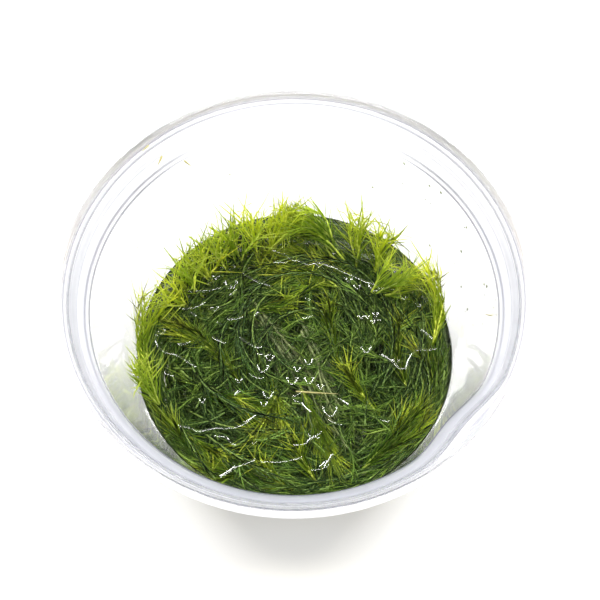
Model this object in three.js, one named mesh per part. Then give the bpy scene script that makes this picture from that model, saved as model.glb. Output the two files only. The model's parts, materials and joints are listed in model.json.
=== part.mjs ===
// Stream bogmoss grown in tissue culture: a tangle of thin stems set round with needle leaves,
// lying in clear nutrient gel in an open clear plastic tub.
// Millimetres, +Z up. The origin is the middle of the tub's underside, +X is the right of the
// photograph and -Y its front. A bearing is measured anticlockwise from +X, in degrees.
import * as THREE from 'three';

// Driving dimensions of the tub
const TUB_HEIGHT = 52;
const FLANGE_RADIUS = 50.2;
const LIP_RADIUS = 47.5;
const SEAT_RADIUS = 46.4;
const WALL_TOP_RADIUS = 44.1;
const FLANGE_RISE = 1.8;
const SEAT_DROP = 3;
const WALL_TOP_DROP = 5.8;
const WALL_DRAFT = THREE.MathUtils.degToRad(14);
const WALL_THICKNESS = 0.9;
const BASE_THICKNESS = 1;
const HEEL_ROUND = 1.4;
const SLOPE_DROP = 0.63; // how far the outer face of a slope lies below its inner face
const FLANGE_THICKNESS = 1.3;
const FLANGE_EDGE_ROUND = 0.5;
const SKIRT_DEPTH = 3.1;
const SKIRT_THICKNESS = 0.8;
const TUB_SIDES = 56;

// The shallow finger recess in the rim
const RECESS_BEARING = THREE.MathUtils.degToRad(-42);
const RECESS_HALF_WIDTH = THREE.MathUtils.degToRad(17);
const RECESS_DEPTH = 1.8;
const RECESS_HEIGHT = 8;

// Driving dimensions of the gel
const GEL_LEVEL = 17.6;
const GEL_SIDE_THICKNESS = 1;
const GEL_FLOOR_THICKNESS = 1.4;
const GEL_EDGE_DROP = 0.4;
const GEL_SIDES = 40;
const CLEARANCE = 0.3;

// Driving dimensions of the plants
const STEM_RADIUS = 0.6;
const STEM_TAPER = 0.4; // share of its girth that a stem loses from foot to tip
const LEAF_LENGTH = 6;
const FOOT_LEAF_SHARE = 0.62; // length of the leaves at the foot, as a share of those at the tip
const LEAF_UNEVENNESS = 0.1;
const LEAF_TRIM = 0.3; // step by which a crowded leaf is shortened
const LEAF_LEAN = THREE.MathUtils.degToRad(52);
const TIP_LEAF_LEAN = THREE.MathUtils.degToRad(34);
const LEAF_SPACING = 2.1;
const UNDER_LEAF_SPACING = 3.4;
const SHORTEST_LEAF = 0.9;
const TIP_LENGTH = 2.2;
const OLD_LEAF_LENGTH = 2.6;
const UNDER_LEAF_LENGTH = 4.4;
const UNDER_WAVER = 1.2;

const LIP_HEIGHT = TUB_HEIGHT - FLANGE_RISE;
const SEAT_HEIGHT = LIP_HEIGHT - SEAT_DROP;
const WALL_TOP_HEIGHT = LIP_HEIGHT - WALL_TOP_DROP;

// Radius of the tub's inner wall at a height.
function wallRadius(height) {
  const below = Math.max(0, WALL_TOP_HEIGHT - height);
  return WALL_TOP_RADIUS - below * Math.tan(WALL_DRAFT);
}

// A solid of revolution about +Z from a profile of [radius, height] points that starts and ends
// on the axis and runs from the underside outwards.
function revolved(profile, sides) {
  const points = profile.map(([radius, height]) => new THREE.Vector2(radius, height));
  return new THREE.LatheGeometry(points, sides).rotateX(Math.PI / 2);
}

// The tub: flat base, rounded heel, drafted wall, sloping seat for a lid, lip, and a flange whose
// skirt hangs clear of the wall. The recess pushes the seat and the lip in towards the axis.
function tubGeometry() {
  const t = WALL_THICKNESS;
  const heel = wallRadius(0) + t;
  const skirtFoot = TUB_HEIGHT - SKIRT_DEPTH;
  const skirtInside = FLANGE_RADIUS - SKIRT_THICKNESS;
  const recessFoot = WALL_TOP_HEIGHT - RECESS_HEIGHT;
  const floorRound = BASE_THICKNESS + HEEL_ROUND;
  const geometry = revolved([
    [0, 0],
    [heel - HEEL_ROUND, 0],
    [wallRadius(HEEL_ROUND) + t, HEEL_ROUND],
    [wallRadius(recessFoot) + t, recessFoot],
    [WALL_TOP_RADIUS + t, WALL_TOP_HEIGHT - SLOPE_DROP],
    [SEAT_RADIUS + t, SEAT_HEIGHT - SLOPE_DROP],
    [LIP_RADIUS + t, LIP_HEIGHT - SLOPE_DROP],
    [skirtInside, TUB_HEIGHT - FLANGE_THICKNESS],
    [skirtInside, skirtFoot],
    [FLANGE_RADIUS, skirtFoot],
    [FLANGE_RADIUS, TUB_HEIGHT - FLANGE_EDGE_ROUND],
    [FLANGE_RADIUS - FLANGE_EDGE_ROUND, TUB_HEIGHT],
    [FLANGE_RADIUS - 2 * FLANGE_EDGE_ROUND, TUB_HEIGHT],
    [LIP_RADIUS, LIP_HEIGHT],
    [SEAT_RADIUS, SEAT_HEIGHT],
    [WALL_TOP_RADIUS, WALL_TOP_HEIGHT],
    [wallRadius(recessFoot), recessFoot],
    [wallRadius(floorRound), floorRound],
    [wallRadius(BASE_THICKNESS) - HEEL_ROUND, BASE_THICKNESS],
    [0, BASE_THICKNESS],
  ], TUB_SIDES);
  const position = geometry.getAttribute('position');
  for (let i = 0; i < position.count; i += 1) {
    const x = position.getX(i);
    const y = position.getY(i);
    const radius = Math.hypot(x, y);
    const height = position.getZ(i);
    const turn = Math.abs(Math.atan2(y, x) - RECESS_BEARING) / RECESS_HALF_WIDTH;
    const inRim = height > WALL_TOP_HEIGHT - 2 * SLOPE_DROP && radius < LIP_RADIUS + 1.01 * t;
    if (inRim && turn < 1) {
      const push = RECESS_DEPTH * (0.5 + 0.5 * Math.cos(Math.PI * turn));
      position.setX(i, x * (1 - push / radius));
      position.setY(i, y * (1 - push / radius));
    }
  }
  return geometry;
}

// The gel: a dish that follows the tub's floor and side up to the level of the gel, open on top
// round the plants.
function gelGeometry() {
  const foot = BASE_THICKNESS + CLEARANCE;
  const floor = foot + GEL_FLOOR_THICKNESS;
  return revolved([
    [0, foot],
    [wallRadius(foot) - HEEL_ROUND - CLEARANCE, foot],
    [wallRadius(foot + HEEL_ROUND) - CLEARANCE, foot + HEEL_ROUND],
    [wallRadius(GEL_LEVEL) - CLEARANCE, GEL_LEVEL],
    [wallRadius(GEL_LEVEL) - CLEARANCE - GEL_SIDE_THICKNESS, GEL_LEVEL - GEL_EDGE_DROP],
    [wallRadius(floor) - CLEARANCE - GEL_SIDE_THICKNESS, floor],
    [0, floor],
  ], GEL_SIDES);
}

// Whether a point has room for a leaf: inside the tub's wall, or inside the gel's dish below its
// surface, and above the dish's floor.
function insideTub(point) {
  const inGel = point.z < GEL_LEVEL + CLEARANCE;
  const lining = CLEARANCE + (inGel ? GEL_SIDE_THICKNESS + CLEARANCE : 0);
  const floor = BASE_THICKNESS + GEL_FLOOR_THICKNESS + 2 * CLEARANCE;
  return point.z > floor + CLEARANCE && Math.hypot(point.x, point.y) < wallRadius(point.z) - lining;
}

// A point given by its distance from the axis, its bearing and its height.
function polar(radius, bearing, height) {
  const angle = THREE.MathUtils.degToRad(bearing);
  return [radius * Math.cos(angle), radius * Math.sin(angle), height];
}

// Points of an arc round the axis, from one bearing to another, with its radius and height
// wavering a little, as a stem does that has grown round the tub.
function arc(radius, height, from, to) {
  const points = [];
  const steps = 6;
  for (let i = 0; i <= steps; i += 1) {
    const along = i / steps;
    const sway = Math.sin(2 * Math.PI * along + from);
    const bearing = from + (to - from) * along;
    points.push(polar(radius + UNDER_WAVER * sway, bearing, height + 0.5 * sway));
  }
  return points;
}

const FRESH = { color: 0x8fae2a, roughness: 0.45 };
const GREEN = { color: 0x55801e, roughness: 0.5 };
const DEEP = { color: 0x35541a, roughness: 0.55 };
const OLD = { color: 0x6a6a3a, roughness: 0.6 };

// The shoots, each with the points of its stem from its cut foot to its growing tip.
const shoots = [
  { name: 'shoot_left_wall', colour: FRESH,
    path: [[-30.2, -14.6, 12.6], [-33.6, -6.6, 17], [-36, 2.4, 19.2], [-36, 10.4, 21.4]] },
  { name: 'shoot_left_side', colour: GREEN,
    path: [[-30, -14.8, 14.4], [-32.4, -12.8, 17.6], [-35.8, -8, 20.6]] },
  { name: 'shoot_left_plume', colour: FRESH,
    path: [[-10.6, -12.2, 13.2], [-14.8, -4.6, 15.8], [-22.2, 2.8, 17], [-29.8, 7.2, 17.6]] },
  { name: 'shoot_back_1', colour: GREEN,
    path: [[-12.4, 23.4, 12.8], [-14.2, 26.2, 18], [-15.2, 30, 20.8]] },
  { name: 'shoot_back_2', colour: FRESH,
    path: [[-8.6, 24.6, 13], [-9.8, 28, 18.4], [-10.4, 32.2, 21.2]] },
  { name: 'shoot_back_3', colour: FRESH,
    path: [[-5.8, 25.6, 14.6], [-5.2, 29.6, 18.6], [-2.6, 34, 21.2]] },
  { name: 'shoot_back_lying_1', colour: GREEN,
    path: [[12.4, 24.6, 16.6], [8.6, 28.8, 18.4], [3.4, 31.8, 19], [-1.6, 31.8, 19.2]] },
  { name: 'shoot_back_lying_2', colour: FRESH,
    path: [[14, 20.6, 15.6], [8, 24, 16.8], [2, 25.8, 17.2], [-3, 24.4, 17]] },
  { name: 'shoot_back_lying_3', colour: GREEN,
    path: [[12.4, 15.8, 13.4], [8, 19.4, 14.4], [3, 21.6, 14.8], [-2, 20.6, 15.2]] },
  { name: 'shoot_back_right_1', colour: FRESH,
    path: [[15.2, 23.2, 13], [16, 27.2, 18.4], [16.8, 31.8, 21.2]] },
  { name: 'shoot_back_right_2', colour: FRESH,
    path: [[19.4, 21, 13], [20.6, 24.8, 18.2], [21.4, 29.2, 20.8]] },
  { name: 'shoot_right_lying', colour: GREEN,
    path: [[17.4, 14.8, 14.6], [22.2, 17.2, 17.8], [27.2, 19.4, 19]] },
  { name: 'shoot_right_wall', colour: FRESH,
    path: [[32.2, -3, 13.8], [33.6, 4.6, 17.8], [34.2, 12, 19.4], [32.4, 18.6, 21.6]] },
  { name: 'shoot_right_low', colour: GREEN,
    path: [[29.6, -16.6, 12.6], [32.6, -11, 15], [33.6, -4, 17], [31.6, 2, 17.8]] },
  { name: 'shoot_star_right', colour: FRESH,
    path: [[27.4, -14.2, 13], [26.2, -8.6, 16], [24.6, -1, 17], [25.4, 5, 18]] },
  { name: 'shoot_star_middle', colour: FRESH,
    path: [[21.8, -18, 13], [18.8, -14.8, 15.2], [15, -10.6, 17], [12.8, -7, 17.8]] },
  { name: 'shoot_star_upright', colour: FRESH,
    path: [[12.4, -10, 12.6], [10.4, -2.2, 15.2], [9, 4.8, 17], [8.6, 11, 18]] },
  { name: 'shoot_star_back_1', colour: FRESH,
    path: [[-8.2, 18.4, 13], [-7.2, 20.6, 16], [-6.6, 22.4, 18.2]] },
  { name: 'shoot_star_back_2', colour: FRESH,
    path: [[0.4, 13.8, 13.2], [2.6, 16, 16], [5.6, 17.6, 17.8]] },
  { name: 'shoot_star_left', colour: GREEN,
    path: [[-14.8, 8.6, 14.6], [-9.6, 10.6, 17.4], [-3.4, 11, 17.8]] },
  { name: 'shoot_star_front_1', colour: FRESH,
    path: [[-5.4, -7, 15.4], [-4.4, -11.6, 16.6], [-3.4, -15.8, 17.6]] },
  { name: 'shoot_star_front_2', colour: FRESH,
    path: [[-0.6, -18.2, 14.8], [-4.4, -20, 16.6], [-8.2, -21.4, 17.4]] },
  { name: 'shoot_star_front_left', colour: FRESH,
    path: [[-28.2, -16.2, 14.2], [-23.2, -22.4, 16.2], [-17.2, -25.8, 17.4]] },
  { name: 'shoot_left_middle', colour: GREEN,
    path: [[-24.4, -11.2, 13.6], [-15.6, -12.2, 16.8], [-8.6, -14.2, 17.2]] },
  { name: 'shoot_inner_1', colour: DEEP,
    path: [[-30.2, -4.2, 13], [-24.8, -2, 14.4], [-18.4, 2.6, 14.2]] },
  { name: 'shoot_inner_2', colour: DEEP,
    path: [[-24.4, 4.2, 13.6], [-21.2, 9.6, 15], [-17.2, 14.6, 15.6]] },
  { name: 'shoot_inner_3', colour: DEEP,
    path: [[17.2, -6.2, 13.4], [16.8, 1.2, 14.8], [15.4, 8.6, 16]] },
  { name: 'shoot_inner_4', colour: DEEP,
    path: [[26.2, 0.8, 13.6], [24.8, 8.8, 15.6], [27.4, 13.8, 16.6]] },
  { name: 'shoot_inner_5', colour: DEEP,
    path: [[-16.4, -17.8, 13.6], [-10.4, -25.4, 14], [-5, -24.8, 15]] },
  { name: 'shoot_inner_6', colour: DEEP,
    path: [[17.8, -24.6, 13], [23.8, -17.8, 13.4], [22.2, -10.2, 14]] },
  { name: 'old_stem_1', colour: OLD, leaf: OLD_LEAF_LENGTH, spacing: UNDER_LEAF_SPACING,
    path: [[-14.4, 19, 13.8], [-11, 11.2, 14], [-3.6, -2.6, 13.8], [2, -17.2, 12.8], [6, -28.6, 13]] },
  { name: 'old_stem_2', colour: OLD, leaf: OLD_LEAF_LENGTH, spacing: UNDER_LEAF_SPACING,
    path: [[-11.6, 15.2, 15.6], [-6.4, 6, 15.6], [1.4, -5.6, 15], [8.6, -19.4, 14.6]] },
  { name: 'old_stem_3', colour: OLD, leaf: OLD_LEAF_LENGTH, spacing: UNDER_LEAF_SPACING,
    path: [[0.6, 9.8, 15.6], [4.6, 1.6, 15.8], [9.4, -8.2, 15], [13.6, -17.4, 13.8]] },
  { name: 'shoot_front_1', colour: FRESH, leaf: OLD_LEAF_LENGTH,
    path: [[1.2, -9, 17], [3.6, -14.6, 17.2], [5.6, -19.4, 17.2], [7.6, -25.2, 16.6]] },
  { name: 'shoot_front_2', colour: FRESH,
    path: [[6.4, -33.6, 14], [3.8, -30.8, 16.4], [1, -26, 17.2]] },
  { name: 'shoot_front_3', colour: FRESH,
    path: [[0.4, -34.2, 13.6], [-2.6, -33, 16.2], [-6, -29.2, 17.2]] },
  { name: 'shoot_plume_1', colour: GREEN,
    path: [[12.2, -32, 14], [17.6, -27.6, 16.4], [23.4, -21.8, 17], [28.4, -16.2, 17.4]] },
  { name: 'shoot_plume_2', colour: FRESH,
    path: [[17.2, -29.8, 14.4], [23.6, -25.6, 16], [28.8, -19.6, 16.8]] },
  { name: 'shoot_edge_1', colour: GREEN,
    path: [[-12.2, -31.8, 13], [-20.8, -27.4, 14.6], [-26.6, -22.2, 15.8], [-29.6, -18.4, 16.8]] },
  { name: 'shoot_edge_2', colour: GREEN,
    path: [[-4.6, -33.8, 13.4], [-11.4, -30.8, 16], [-17.8, -30, 17]] },
];

// Four short shoots that stand side by side on the left of the back, leaning on the wall.
const LEFT_BACK_BEARINGS = [155, 146, 136.5, 127.5];
LEFT_BACK_BEARINGS.forEach((bearing, i) => {
  const rise = 0.4 * i;
  shoots.push({
    name: `shoot_left_back_${i + 1}`,
    colour: i % 2 ? GREEN : FRESH,
    path: [
      polar(27, bearing, 13 + 2 * rise),
      polar(29.8, bearing, 17.6 + rise),
      polar(32.4, bearing - 3, 19.3 + rise),
    ],
  });
});

// The shoots underneath, coiled round the tub in two layers: for each ring its radius, the
// bearings where its shoots begin, and the angle that each of them takes.
const UNDER_LAYERS = [
  { name: 'under_low', height: 6.4,
    rings: [[28.5, [10, 130, 250], 108], [19.5, [60, 240], 160], [10.5, [200], 300]] },
  { name: 'under_mid', height: 10,
    rings: [[30, [70, 190, 310], 104], [21.5, [150, 330], 150], [12.5, [20], 290]] },
];
for (const { name, height, rings } of UNDER_LAYERS) {
  let count = 0;
  for (const [radius, bearings, sweep] of rings) {
    for (const bearing of bearings) {
      count += 1;
      shoots.push({
        name: `${name}_${count}`,
        colour: DEEP,
        leaf: UNDER_LEAF_LENGTH,
        spacing: UNDER_LEAF_SPACING,
        path: arc(radius, height, bearing, bearing + sweep),
      });
    }
  }
}

// Each stem's centre line, and points along it that other shoots' leaves keep clear of.
for (const shoot of shoots) {
  shoot.curve = new THREE.CatmullRomCurve3(shoot.path.map((point) => new THREE.Vector3(...point)));
  shoot.rings = Math.round(shoot.curve.getLength() / (shoot.spacing ?? LEAF_SPACING));
  shoot.trace = shoot.curve.getSpacedPoints(shoot.rings * 3);
}

// Distance from a point to a shoot's centre line.
function distanceTo(shoot, point) {
  return Math.min(...shoot.trace.map((place) => place.distanceTo(point)));
}

// Whether a leaf's tip is nearer its own stem than any other, with room to spare.
function hasRoom(tip, own) {
  const ownDistance = distanceTo(own, tip);
  const others = shoots.filter((shoot) => shoot !== own);
  return insideTub(tip) && others.every((shoot) => distanceTo(shoot, tip) > ownDistance + CLEARANCE);
}

// The tip of one leaf: it leans forward from its stem, and is as long as its neighbours let it be.
// Where they leave no room for a leaf there is none.
function leafTip(shoot, foot, outward, forward, lean, longest) {
  for (let length = longest; length > SHORTEST_LEAF; length -= LEAF_TRIM) {
    const tip = foot.clone().addScaledVector(outward, length * Math.sin(lean));
    tip.addScaledVector(forward, length * Math.cos(lean));
    if (hasRoom(tip, shoot)) return tip;
  }
  return null;
}

// One shoot: a six-sided stem whose rings carry three leaves each, turned by a sixth of a turn
// from ring to ring. The leaves are longest and lean furthest forward in the tuft at the tip.
function shootGeometry(shoot) {
  const { curve, rings } = shoot;
  const frames = curve.computeFrenetFrames(rings, false);
  const vertices = [];
  for (let ring = 0; ring <= rings; ring += 1) {
    const along = ring / rings;
    const centre = curve.getPointAt(along);
    const girth = STEM_RADIUS * (1 - STEM_TAPER * along);
    const lean = THREE.MathUtils.lerp(LEAF_LEAN, TIP_LEAF_LEAN, along ** 3);
    const fullLeaf = (shoot.leaf ?? LEAF_LENGTH) * THREE.MathUtils.lerp(FOOT_LEAF_SHARE, 1, along);
    for (let side = 0; side < 6; side += 1) {
      const angle = (side * Math.PI) / 3;
      const outward = frames.normals[ring].clone().multiplyScalar(Math.cos(angle));
      outward.addScaledVector(frames.binormals[ring], Math.sin(angle));
      const longest = fullLeaf * (1 + LEAF_UNEVENNESS * (Math.sin(7 * ring + 5 * side) - 1));
      const hasLeaf = ring > 0 && (ring + side) % 2 === 0;
      const tip = hasLeaf ? leafTip(shoot, centre, outward, frames.tangents[ring], lean, longest) : null;
      vertices.push(tip ?? centre.clone().addScaledVector(outward, girth));
    }
  }
  const faces = [];
  for (let ring = 0; ring < rings; ring += 1) {
    for (let side = 0; side < 6; side += 1) {
      const near = ring * 6 + side;
      const nearNext = ring * 6 + ((side + 1) % 6);
      const far = near + 6;
      const farNext = nearNext + 6;
      if ((ring + side) % 2 === 0) {
        faces.push(near, nearNext, far, nearNext, farNext, far);
      } else {
        faces.push(near, nearNext, farNext, near, farNext, far);
      }
    }
  }
  const foot = vertices.length;
  vertices.push(curve.getPointAt(0));
  vertices.push(curve.getPointAt(1).addScaledVector(frames.tangents[rings], TIP_LENGTH));
  for (let side = 0; side < 6; side += 1) {
    const next = (side + 1) % 6;
    faces.push(foot, next, side);
    faces.push(foot + 1, rings * 6 + side, rings * 6 + next);
  }
  const geometry = new THREE.BufferGeometry().setFromPoints(vertices);
  geometry.setIndex(faces);
  geometry.computeVertexNormals();
  return geometry;
}

const bogmoss = new THREE.Group();

function addPiece(name, geometry, material) {
  const mesh = new THREE.Mesh(geometry, new THREE.MeshStandardMaterial(material));
  mesh.name = name;
  bogmoss.add(mesh);
}

addPiece('cup', tubGeometry(), {
  color: 0xf1f3f6, roughness: 0.15, metalness: 0, transparent: true, opacity: 0.25,
});
addPiece('gel', gelGeometry(), {
  color: 0xe9efdc, roughness: 0.05, metalness: 0, transparent: true, opacity: 0.2,
});
for (const shoot of shoots) {
  addPiece(shoot.name, shootGeometry(shoot), { ...shoot.colour, metalness: 0 });
}

export default bogmoss;
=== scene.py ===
"""Looks of a clear tub of stream bogmoss from tissue culture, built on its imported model."""
import json
import math

import bmesh
import bpy
import numpy as np
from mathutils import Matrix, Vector


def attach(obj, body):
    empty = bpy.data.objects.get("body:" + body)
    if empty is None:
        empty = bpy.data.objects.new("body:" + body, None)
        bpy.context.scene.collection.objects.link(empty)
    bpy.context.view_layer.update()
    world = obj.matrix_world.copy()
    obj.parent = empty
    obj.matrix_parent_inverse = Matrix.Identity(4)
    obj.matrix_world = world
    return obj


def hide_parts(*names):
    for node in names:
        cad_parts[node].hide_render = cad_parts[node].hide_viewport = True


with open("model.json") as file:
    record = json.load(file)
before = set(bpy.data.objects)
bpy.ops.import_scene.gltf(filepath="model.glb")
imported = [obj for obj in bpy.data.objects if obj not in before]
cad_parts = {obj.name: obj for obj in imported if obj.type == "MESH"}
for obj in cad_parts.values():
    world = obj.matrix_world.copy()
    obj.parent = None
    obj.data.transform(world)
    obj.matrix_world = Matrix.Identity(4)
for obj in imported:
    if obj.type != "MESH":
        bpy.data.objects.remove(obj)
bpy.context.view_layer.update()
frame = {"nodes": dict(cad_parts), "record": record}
scene = bpy.context.scene

# The view
# The photograph looks steeply down into the tub from its front. All sizes below are in
# millimetres, and each piece is brought to metres when it is made.
mm = 0.001
CAMERA_PLACE = Vector((1.27, -108.53, 253.21)) * mm
CAMERA_DIP = math.radians(62.69)
SENSOR_WIDTH = 36
FOCAL_LENGTH = 65.28

camera = bpy.data.objects.new("camera", bpy.data.cameras.new("camera"))
scene.collection.objects.link(camera)
camera.data.sensor_width = SENSOR_WIDTH
camera.data.lens = FOCAL_LENGTH
camera.data.clip_start = 10 * mm
camera.location = CAMERA_PLACE
camera.rotation_euler = (math.pi / 2 - CAMERA_DIP, 0, 0)
scene.camera = camera
scene.view_settings.view_transform = "Standard"

# The table and the lights
# A seamless white table under a white tent. A long strip hangs high over the tub's front, from
# left to right, so wet edges glint. Two soft lights behind the tub shine through the leaves, and
# their shadows meet in front of it. The tent is brightest low down.
TABLE_RADIUS = 750 * mm
TABLE_SIDES = 64
TABLE_WHITE = (0.66, 0.66, 0.66, 1)
TABLE_SPECK = (0.68, 0.68, 0.675, 1)
SPECK_SCALE = 60
STRIP_PLACE = Vector((0, -270, 1000)) * mm
STRIP_LENGTH = 2000 * mm
STRIP_WIDTH = 100 * mm
STRIP_POWER = 7.5
BACK_PLACES = {"left_light": (-460, 600, 660), "right_light": (460, 600, 660)}
BACK_SIDE = 420 * mm
BACK_POWER = 10.5
TENT_COLOUR = (1, 0.988, 0.962, 1)
TENT_GLOW = 0.86
LOW_GLOW = 0.4
LOW_FADE = (0.5, 0.15)
FRONT_DIMMING = 0.05
FRONT_FADE = (-0.2, -0.9)
MIRROR_DIMMING = 0.99
MIRROR_FADE = (math.cos(math.radians(44)), math.cos(math.radians(20)))


class Wire:
    """A node's output socket. A sum written with it adds a Math node."""

    def __init__(self, maker, socket):
        self.maker = maker
        self.socket = socket

    def output(self, name):
        return Wire(self.maker, self.socket.node.outputs[name])

    def maths(self, operation, first, second):
        return self.maker.add("ShaderNodeMath", {"operation": operation}, {0: first, 1: second})

    def size(self):
        return self.maths("ABSOLUTE", self, 0)

    def fade(self, start, stop, low=0.0, high=1.0, way="SMOOTHSTEP"):
        """Goes from low to high while this number goes from start to stop."""
        return self.maker.add(
            "ShaderNodeMapRange", {"interpolation_type": way},
            {0: self, 1: start, 2: stop, 3: low, 4: high})

    def __add__(self, other):
        return self.maths("ADD", self, other)

    def __radd__(self, other):
        return self.maths("ADD", other, self)

    def __sub__(self, other):
        return self.maths("SUBTRACT", self, other)

    def __rsub__(self, other):
        return self.maths("SUBTRACT", other, self)

    def __mul__(self, other):
        return self.maths("MULTIPLY", self, other)

    def __rmul__(self, other):
        return self.maths("MULTIPLY", other, self)

    def __truediv__(self, other):
        return self.maths("DIVIDE", self, other)

    def __rtruediv__(self, other):
        return self.maths("DIVIDE", other, self)


class Shader:
    """The node tree of a material or of the world. Each node comes from its add method."""

    def __init__(self, owner):
        owner.use_nodes = True
        self.tree = owner.node_tree
        self.tree.nodes.clear()

    def add(self, kind, settings, sockets, output=0):
        node = self.tree.nodes.new(kind)
        for name, value in settings.items():
            if name == "stops":
                stops = node.color_ramp.elements
                while len(stops) < len(value):
                    stops.new(0.5)
                for stop, (position, colour) in zip(stops, value):
                    stop.position = position
                    stop.color = (*colour, 1)
            else:
                setattr(node, name, value)
        for name, value in sockets.items():
            if isinstance(value, Wire):
                self.tree.links.new(value.socket, node.inputs[name])
            else:
                node.inputs[name].default_value = value
        return Wire(self, node.outputs[output]) if node.outputs else None


table = bmesh.new()
bmesh.ops.create_circle(table, cap_ends=True, segments=TABLE_SIDES, radius=TABLE_RADIUS)
table_mesh = bpy.data.meshes.new("table")
table.to_mesh(table_mesh)
table.free()
table_piece = bpy.data.objects.new("table", table_mesh)
scene.collection.objects.link(table_piece)

white_paper = bpy.data.materials.new("white_paper")
shader = Shader(white_paper)
place = shader.add("ShaderNodeTexCoord", {}, {}, "Object")
grain = shader.add("ShaderNodeTexNoise", {}, {"Vector": place, "Scale": SPECK_SCALE, "Detail": 3})
paper = shader.add(
    "ShaderNodeMix", {"data_type": "RGBA"}, {0: grain, 6: TABLE_WHITE, 7: TABLE_SPECK}, 2)
surface = shader.add(
    "ShaderNodeBsdfPrincipled", {},
    {"Base Color": paper, "Roughness": 0.8, "Specular IOR Level": 0.1})
shader.add("ShaderNodeOutputMaterial", {}, {"Surface": surface})
table_mesh.materials.append(white_paper)

strip = bpy.data.objects.new("strip_light", bpy.data.lights.new("strip_light", "AREA"))
scene.collection.objects.link(strip)
strip.data.shape = "RECTANGLE"
strip.data.size = STRIP_LENGTH
strip.data.size_y = STRIP_WIDTH
strip.data.energy = STRIP_POWER
strip.location = STRIP_PLACE
strip.rotation_euler = (-math.atan2(STRIP_PLACE.y, STRIP_PLACE.z), 0, 0)

for name, place in BACK_PLACES.items():
    light = bpy.data.objects.new(name, bpy.data.lights.new(name, "AREA"))
    scene.collection.objects.link(light)
    light.data.size = BACK_SIDE
    light.data.energy = BACK_POWER
    light.location = Vector(place) * mm
    light.rotation_euler = Vector(place).to_track_quat("Z", "Y").to_euler()

# The tent is dimmer where flat water would mirror it to the camera, and towards the camera.
tent = bpy.data.worlds.new("white_tent")
scene.world = tent
shader = Shader(tent)
toward = shader.add("ShaderNodeTexCoord", {}, {}, "Generated")
parts = shader.add("ShaderNodeSeparateXYZ", {}, {"Vector": toward})
mirrored = parts.output("Y") * math.cos(CAMERA_DIP) + parts.output("Z") * math.sin(CAMERA_DIP)
gap = mirrored.fade(*MIRROR_FADE, 0, MIRROR_DIMMING)
front = parts.output("Y").fade(*FRONT_FADE, 0, FRONT_DIMMING)
low = parts.output("Z").fade(*LOW_FADE, 1, 1 + LOW_GLOW)
glow = TENT_GLOW * low * (1 - gap) * (1 - front)
background = shader.add("ShaderNodeBackground", {}, {"Color": TENT_COLOUR, "Strength": glow})
shader.add("ShaderNodeOutputWorld", {}, {"Surface": background})

scene.cycles.caustics_reflective = False
scene.cycles.caustics_refractive = False
scene.cycles.transparent_max_bounces = 24

# The tub
# One moulding in clear plastic: a drafted wall on a flat base, a sloping seat for a lid, and a
# flange with a short skirt. The finger recess pushes the seat in at the right of the front.
TUB_HEIGHT = 52
FLANGE_RADIUS = 50.2
LIP_RADIUS = 47.5
SEAT_RADIUS = 46.4
WALL_TOP_RADIUS = 44.1
LIP_HEIGHT = TUB_HEIGHT - 1.8
SEAT_HEIGHT = LIP_HEIGHT - 3
WALL_TOP_HEIGHT = LIP_HEIGHT - 5.8
WALL_DRAFT = math.radians(14)
WALL_THICKNESS = 0.9
BASE_THICKNESS = 1
HEEL_ROUND = 1.4
SLOPE_DROP = 0.63
FLANGE_THICKNESS = 1.3
FLANGE_TOP_WIDTH = 1
SKIRT_DEPTH = 3.1
SKIRT_THICKNESS = 0.8
CORNER_ROUND = 0.22
RECESS_BEARING = math.radians(-42)
RECESS_HALF_WIDTH = math.radians(17)
RECESS_DEPTH = 1.8
RECESS_HEIGHT = 8
RECESS_ROWS = 6
TUB_STEPS = 240
PLASTIC_TINT = (0.93, 0.932, 0.945, 1)
SHADE_TINT = (0.945, 0.925, 0.89, 1)
CLEAR_ROUGHNESS = 0.05
RIM_ROUGHNESS = 0.3
SATIN_START = (43.6, 45.2)
SATIN_END = (49.4, 50.6)
TOP_SATIN = 0.3
# The rim's milkiness is partly real satin plastic and partly painted shade. Its greyish lavender is
# full at the front and weaker at the back, and stands for the shade seen through the front of the
# rim.
WALL_HAZE = 0.01
RIM_HAZE = 0.28
HAZE_AND_SHADE_COLOUR = (0.33, 0.35, 0.45, 1)
SKIRT_HAZE = 0.65
SKIRT_COLOUR = (0.93, 0.93, 0.97, 1)
SKIRT_START = (49.6, 50.1)
BACK_HAZE_AND_SHADE_SHARE = 0.4
BACK_FADE = (-0.2, 0.8)
# Painted shade: the corner lines are dark colour in the plastic. They stand for the dark edges that
# its corners show where they bend light away, and are painted stronger at the left and right.
PAINTED_LINE_SHADE = (0.16, 0.16, 0.18, 1)
FRONT_LINE_SHARE = 0.35
FRONT_LINE_FADE = (-0.75, -1.02)
SIDE_LINE_FADE = (0.3, 0.8)
PAINTED_CORNER_LINES = [
    (LIP_HEIGHT, 0.3, 0.9, 0.7), (LIP_HEIGHT - SLOPE_DROP, 0.25, 0.6, 0.5),
    (SEAT_HEIGHT, 0.4, 0.6, 0), (WALL_TOP_HEIGHT, 0.45, 1, 0),
]
RIPPLE_SCALE = 90
RIPPLE_STRENGTH = 0.06
RIPPLE_DEPTH = 0.05 * mm


def wall_radius(height):
    """Radius of the tub's inner wall at a height."""
    return WALL_TOP_RADIUS - np.maximum(0, WALL_TOP_HEIGHT - height) * math.tan(WALL_DRAFT)


def new_piece(name, mesh, material, slot, *nodes):
    """Shows a finished mesh as a piece of the object, in place of CAD nodes."""
    mesh.shade_smooth()
    mesh.materials.append(material)
    piece = bpy.data.objects.new(name, mesh)
    scene.collection.objects.link(piece)
    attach(piece, "root")
    if nodes:
        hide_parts(*nodes)
    return piece


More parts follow.
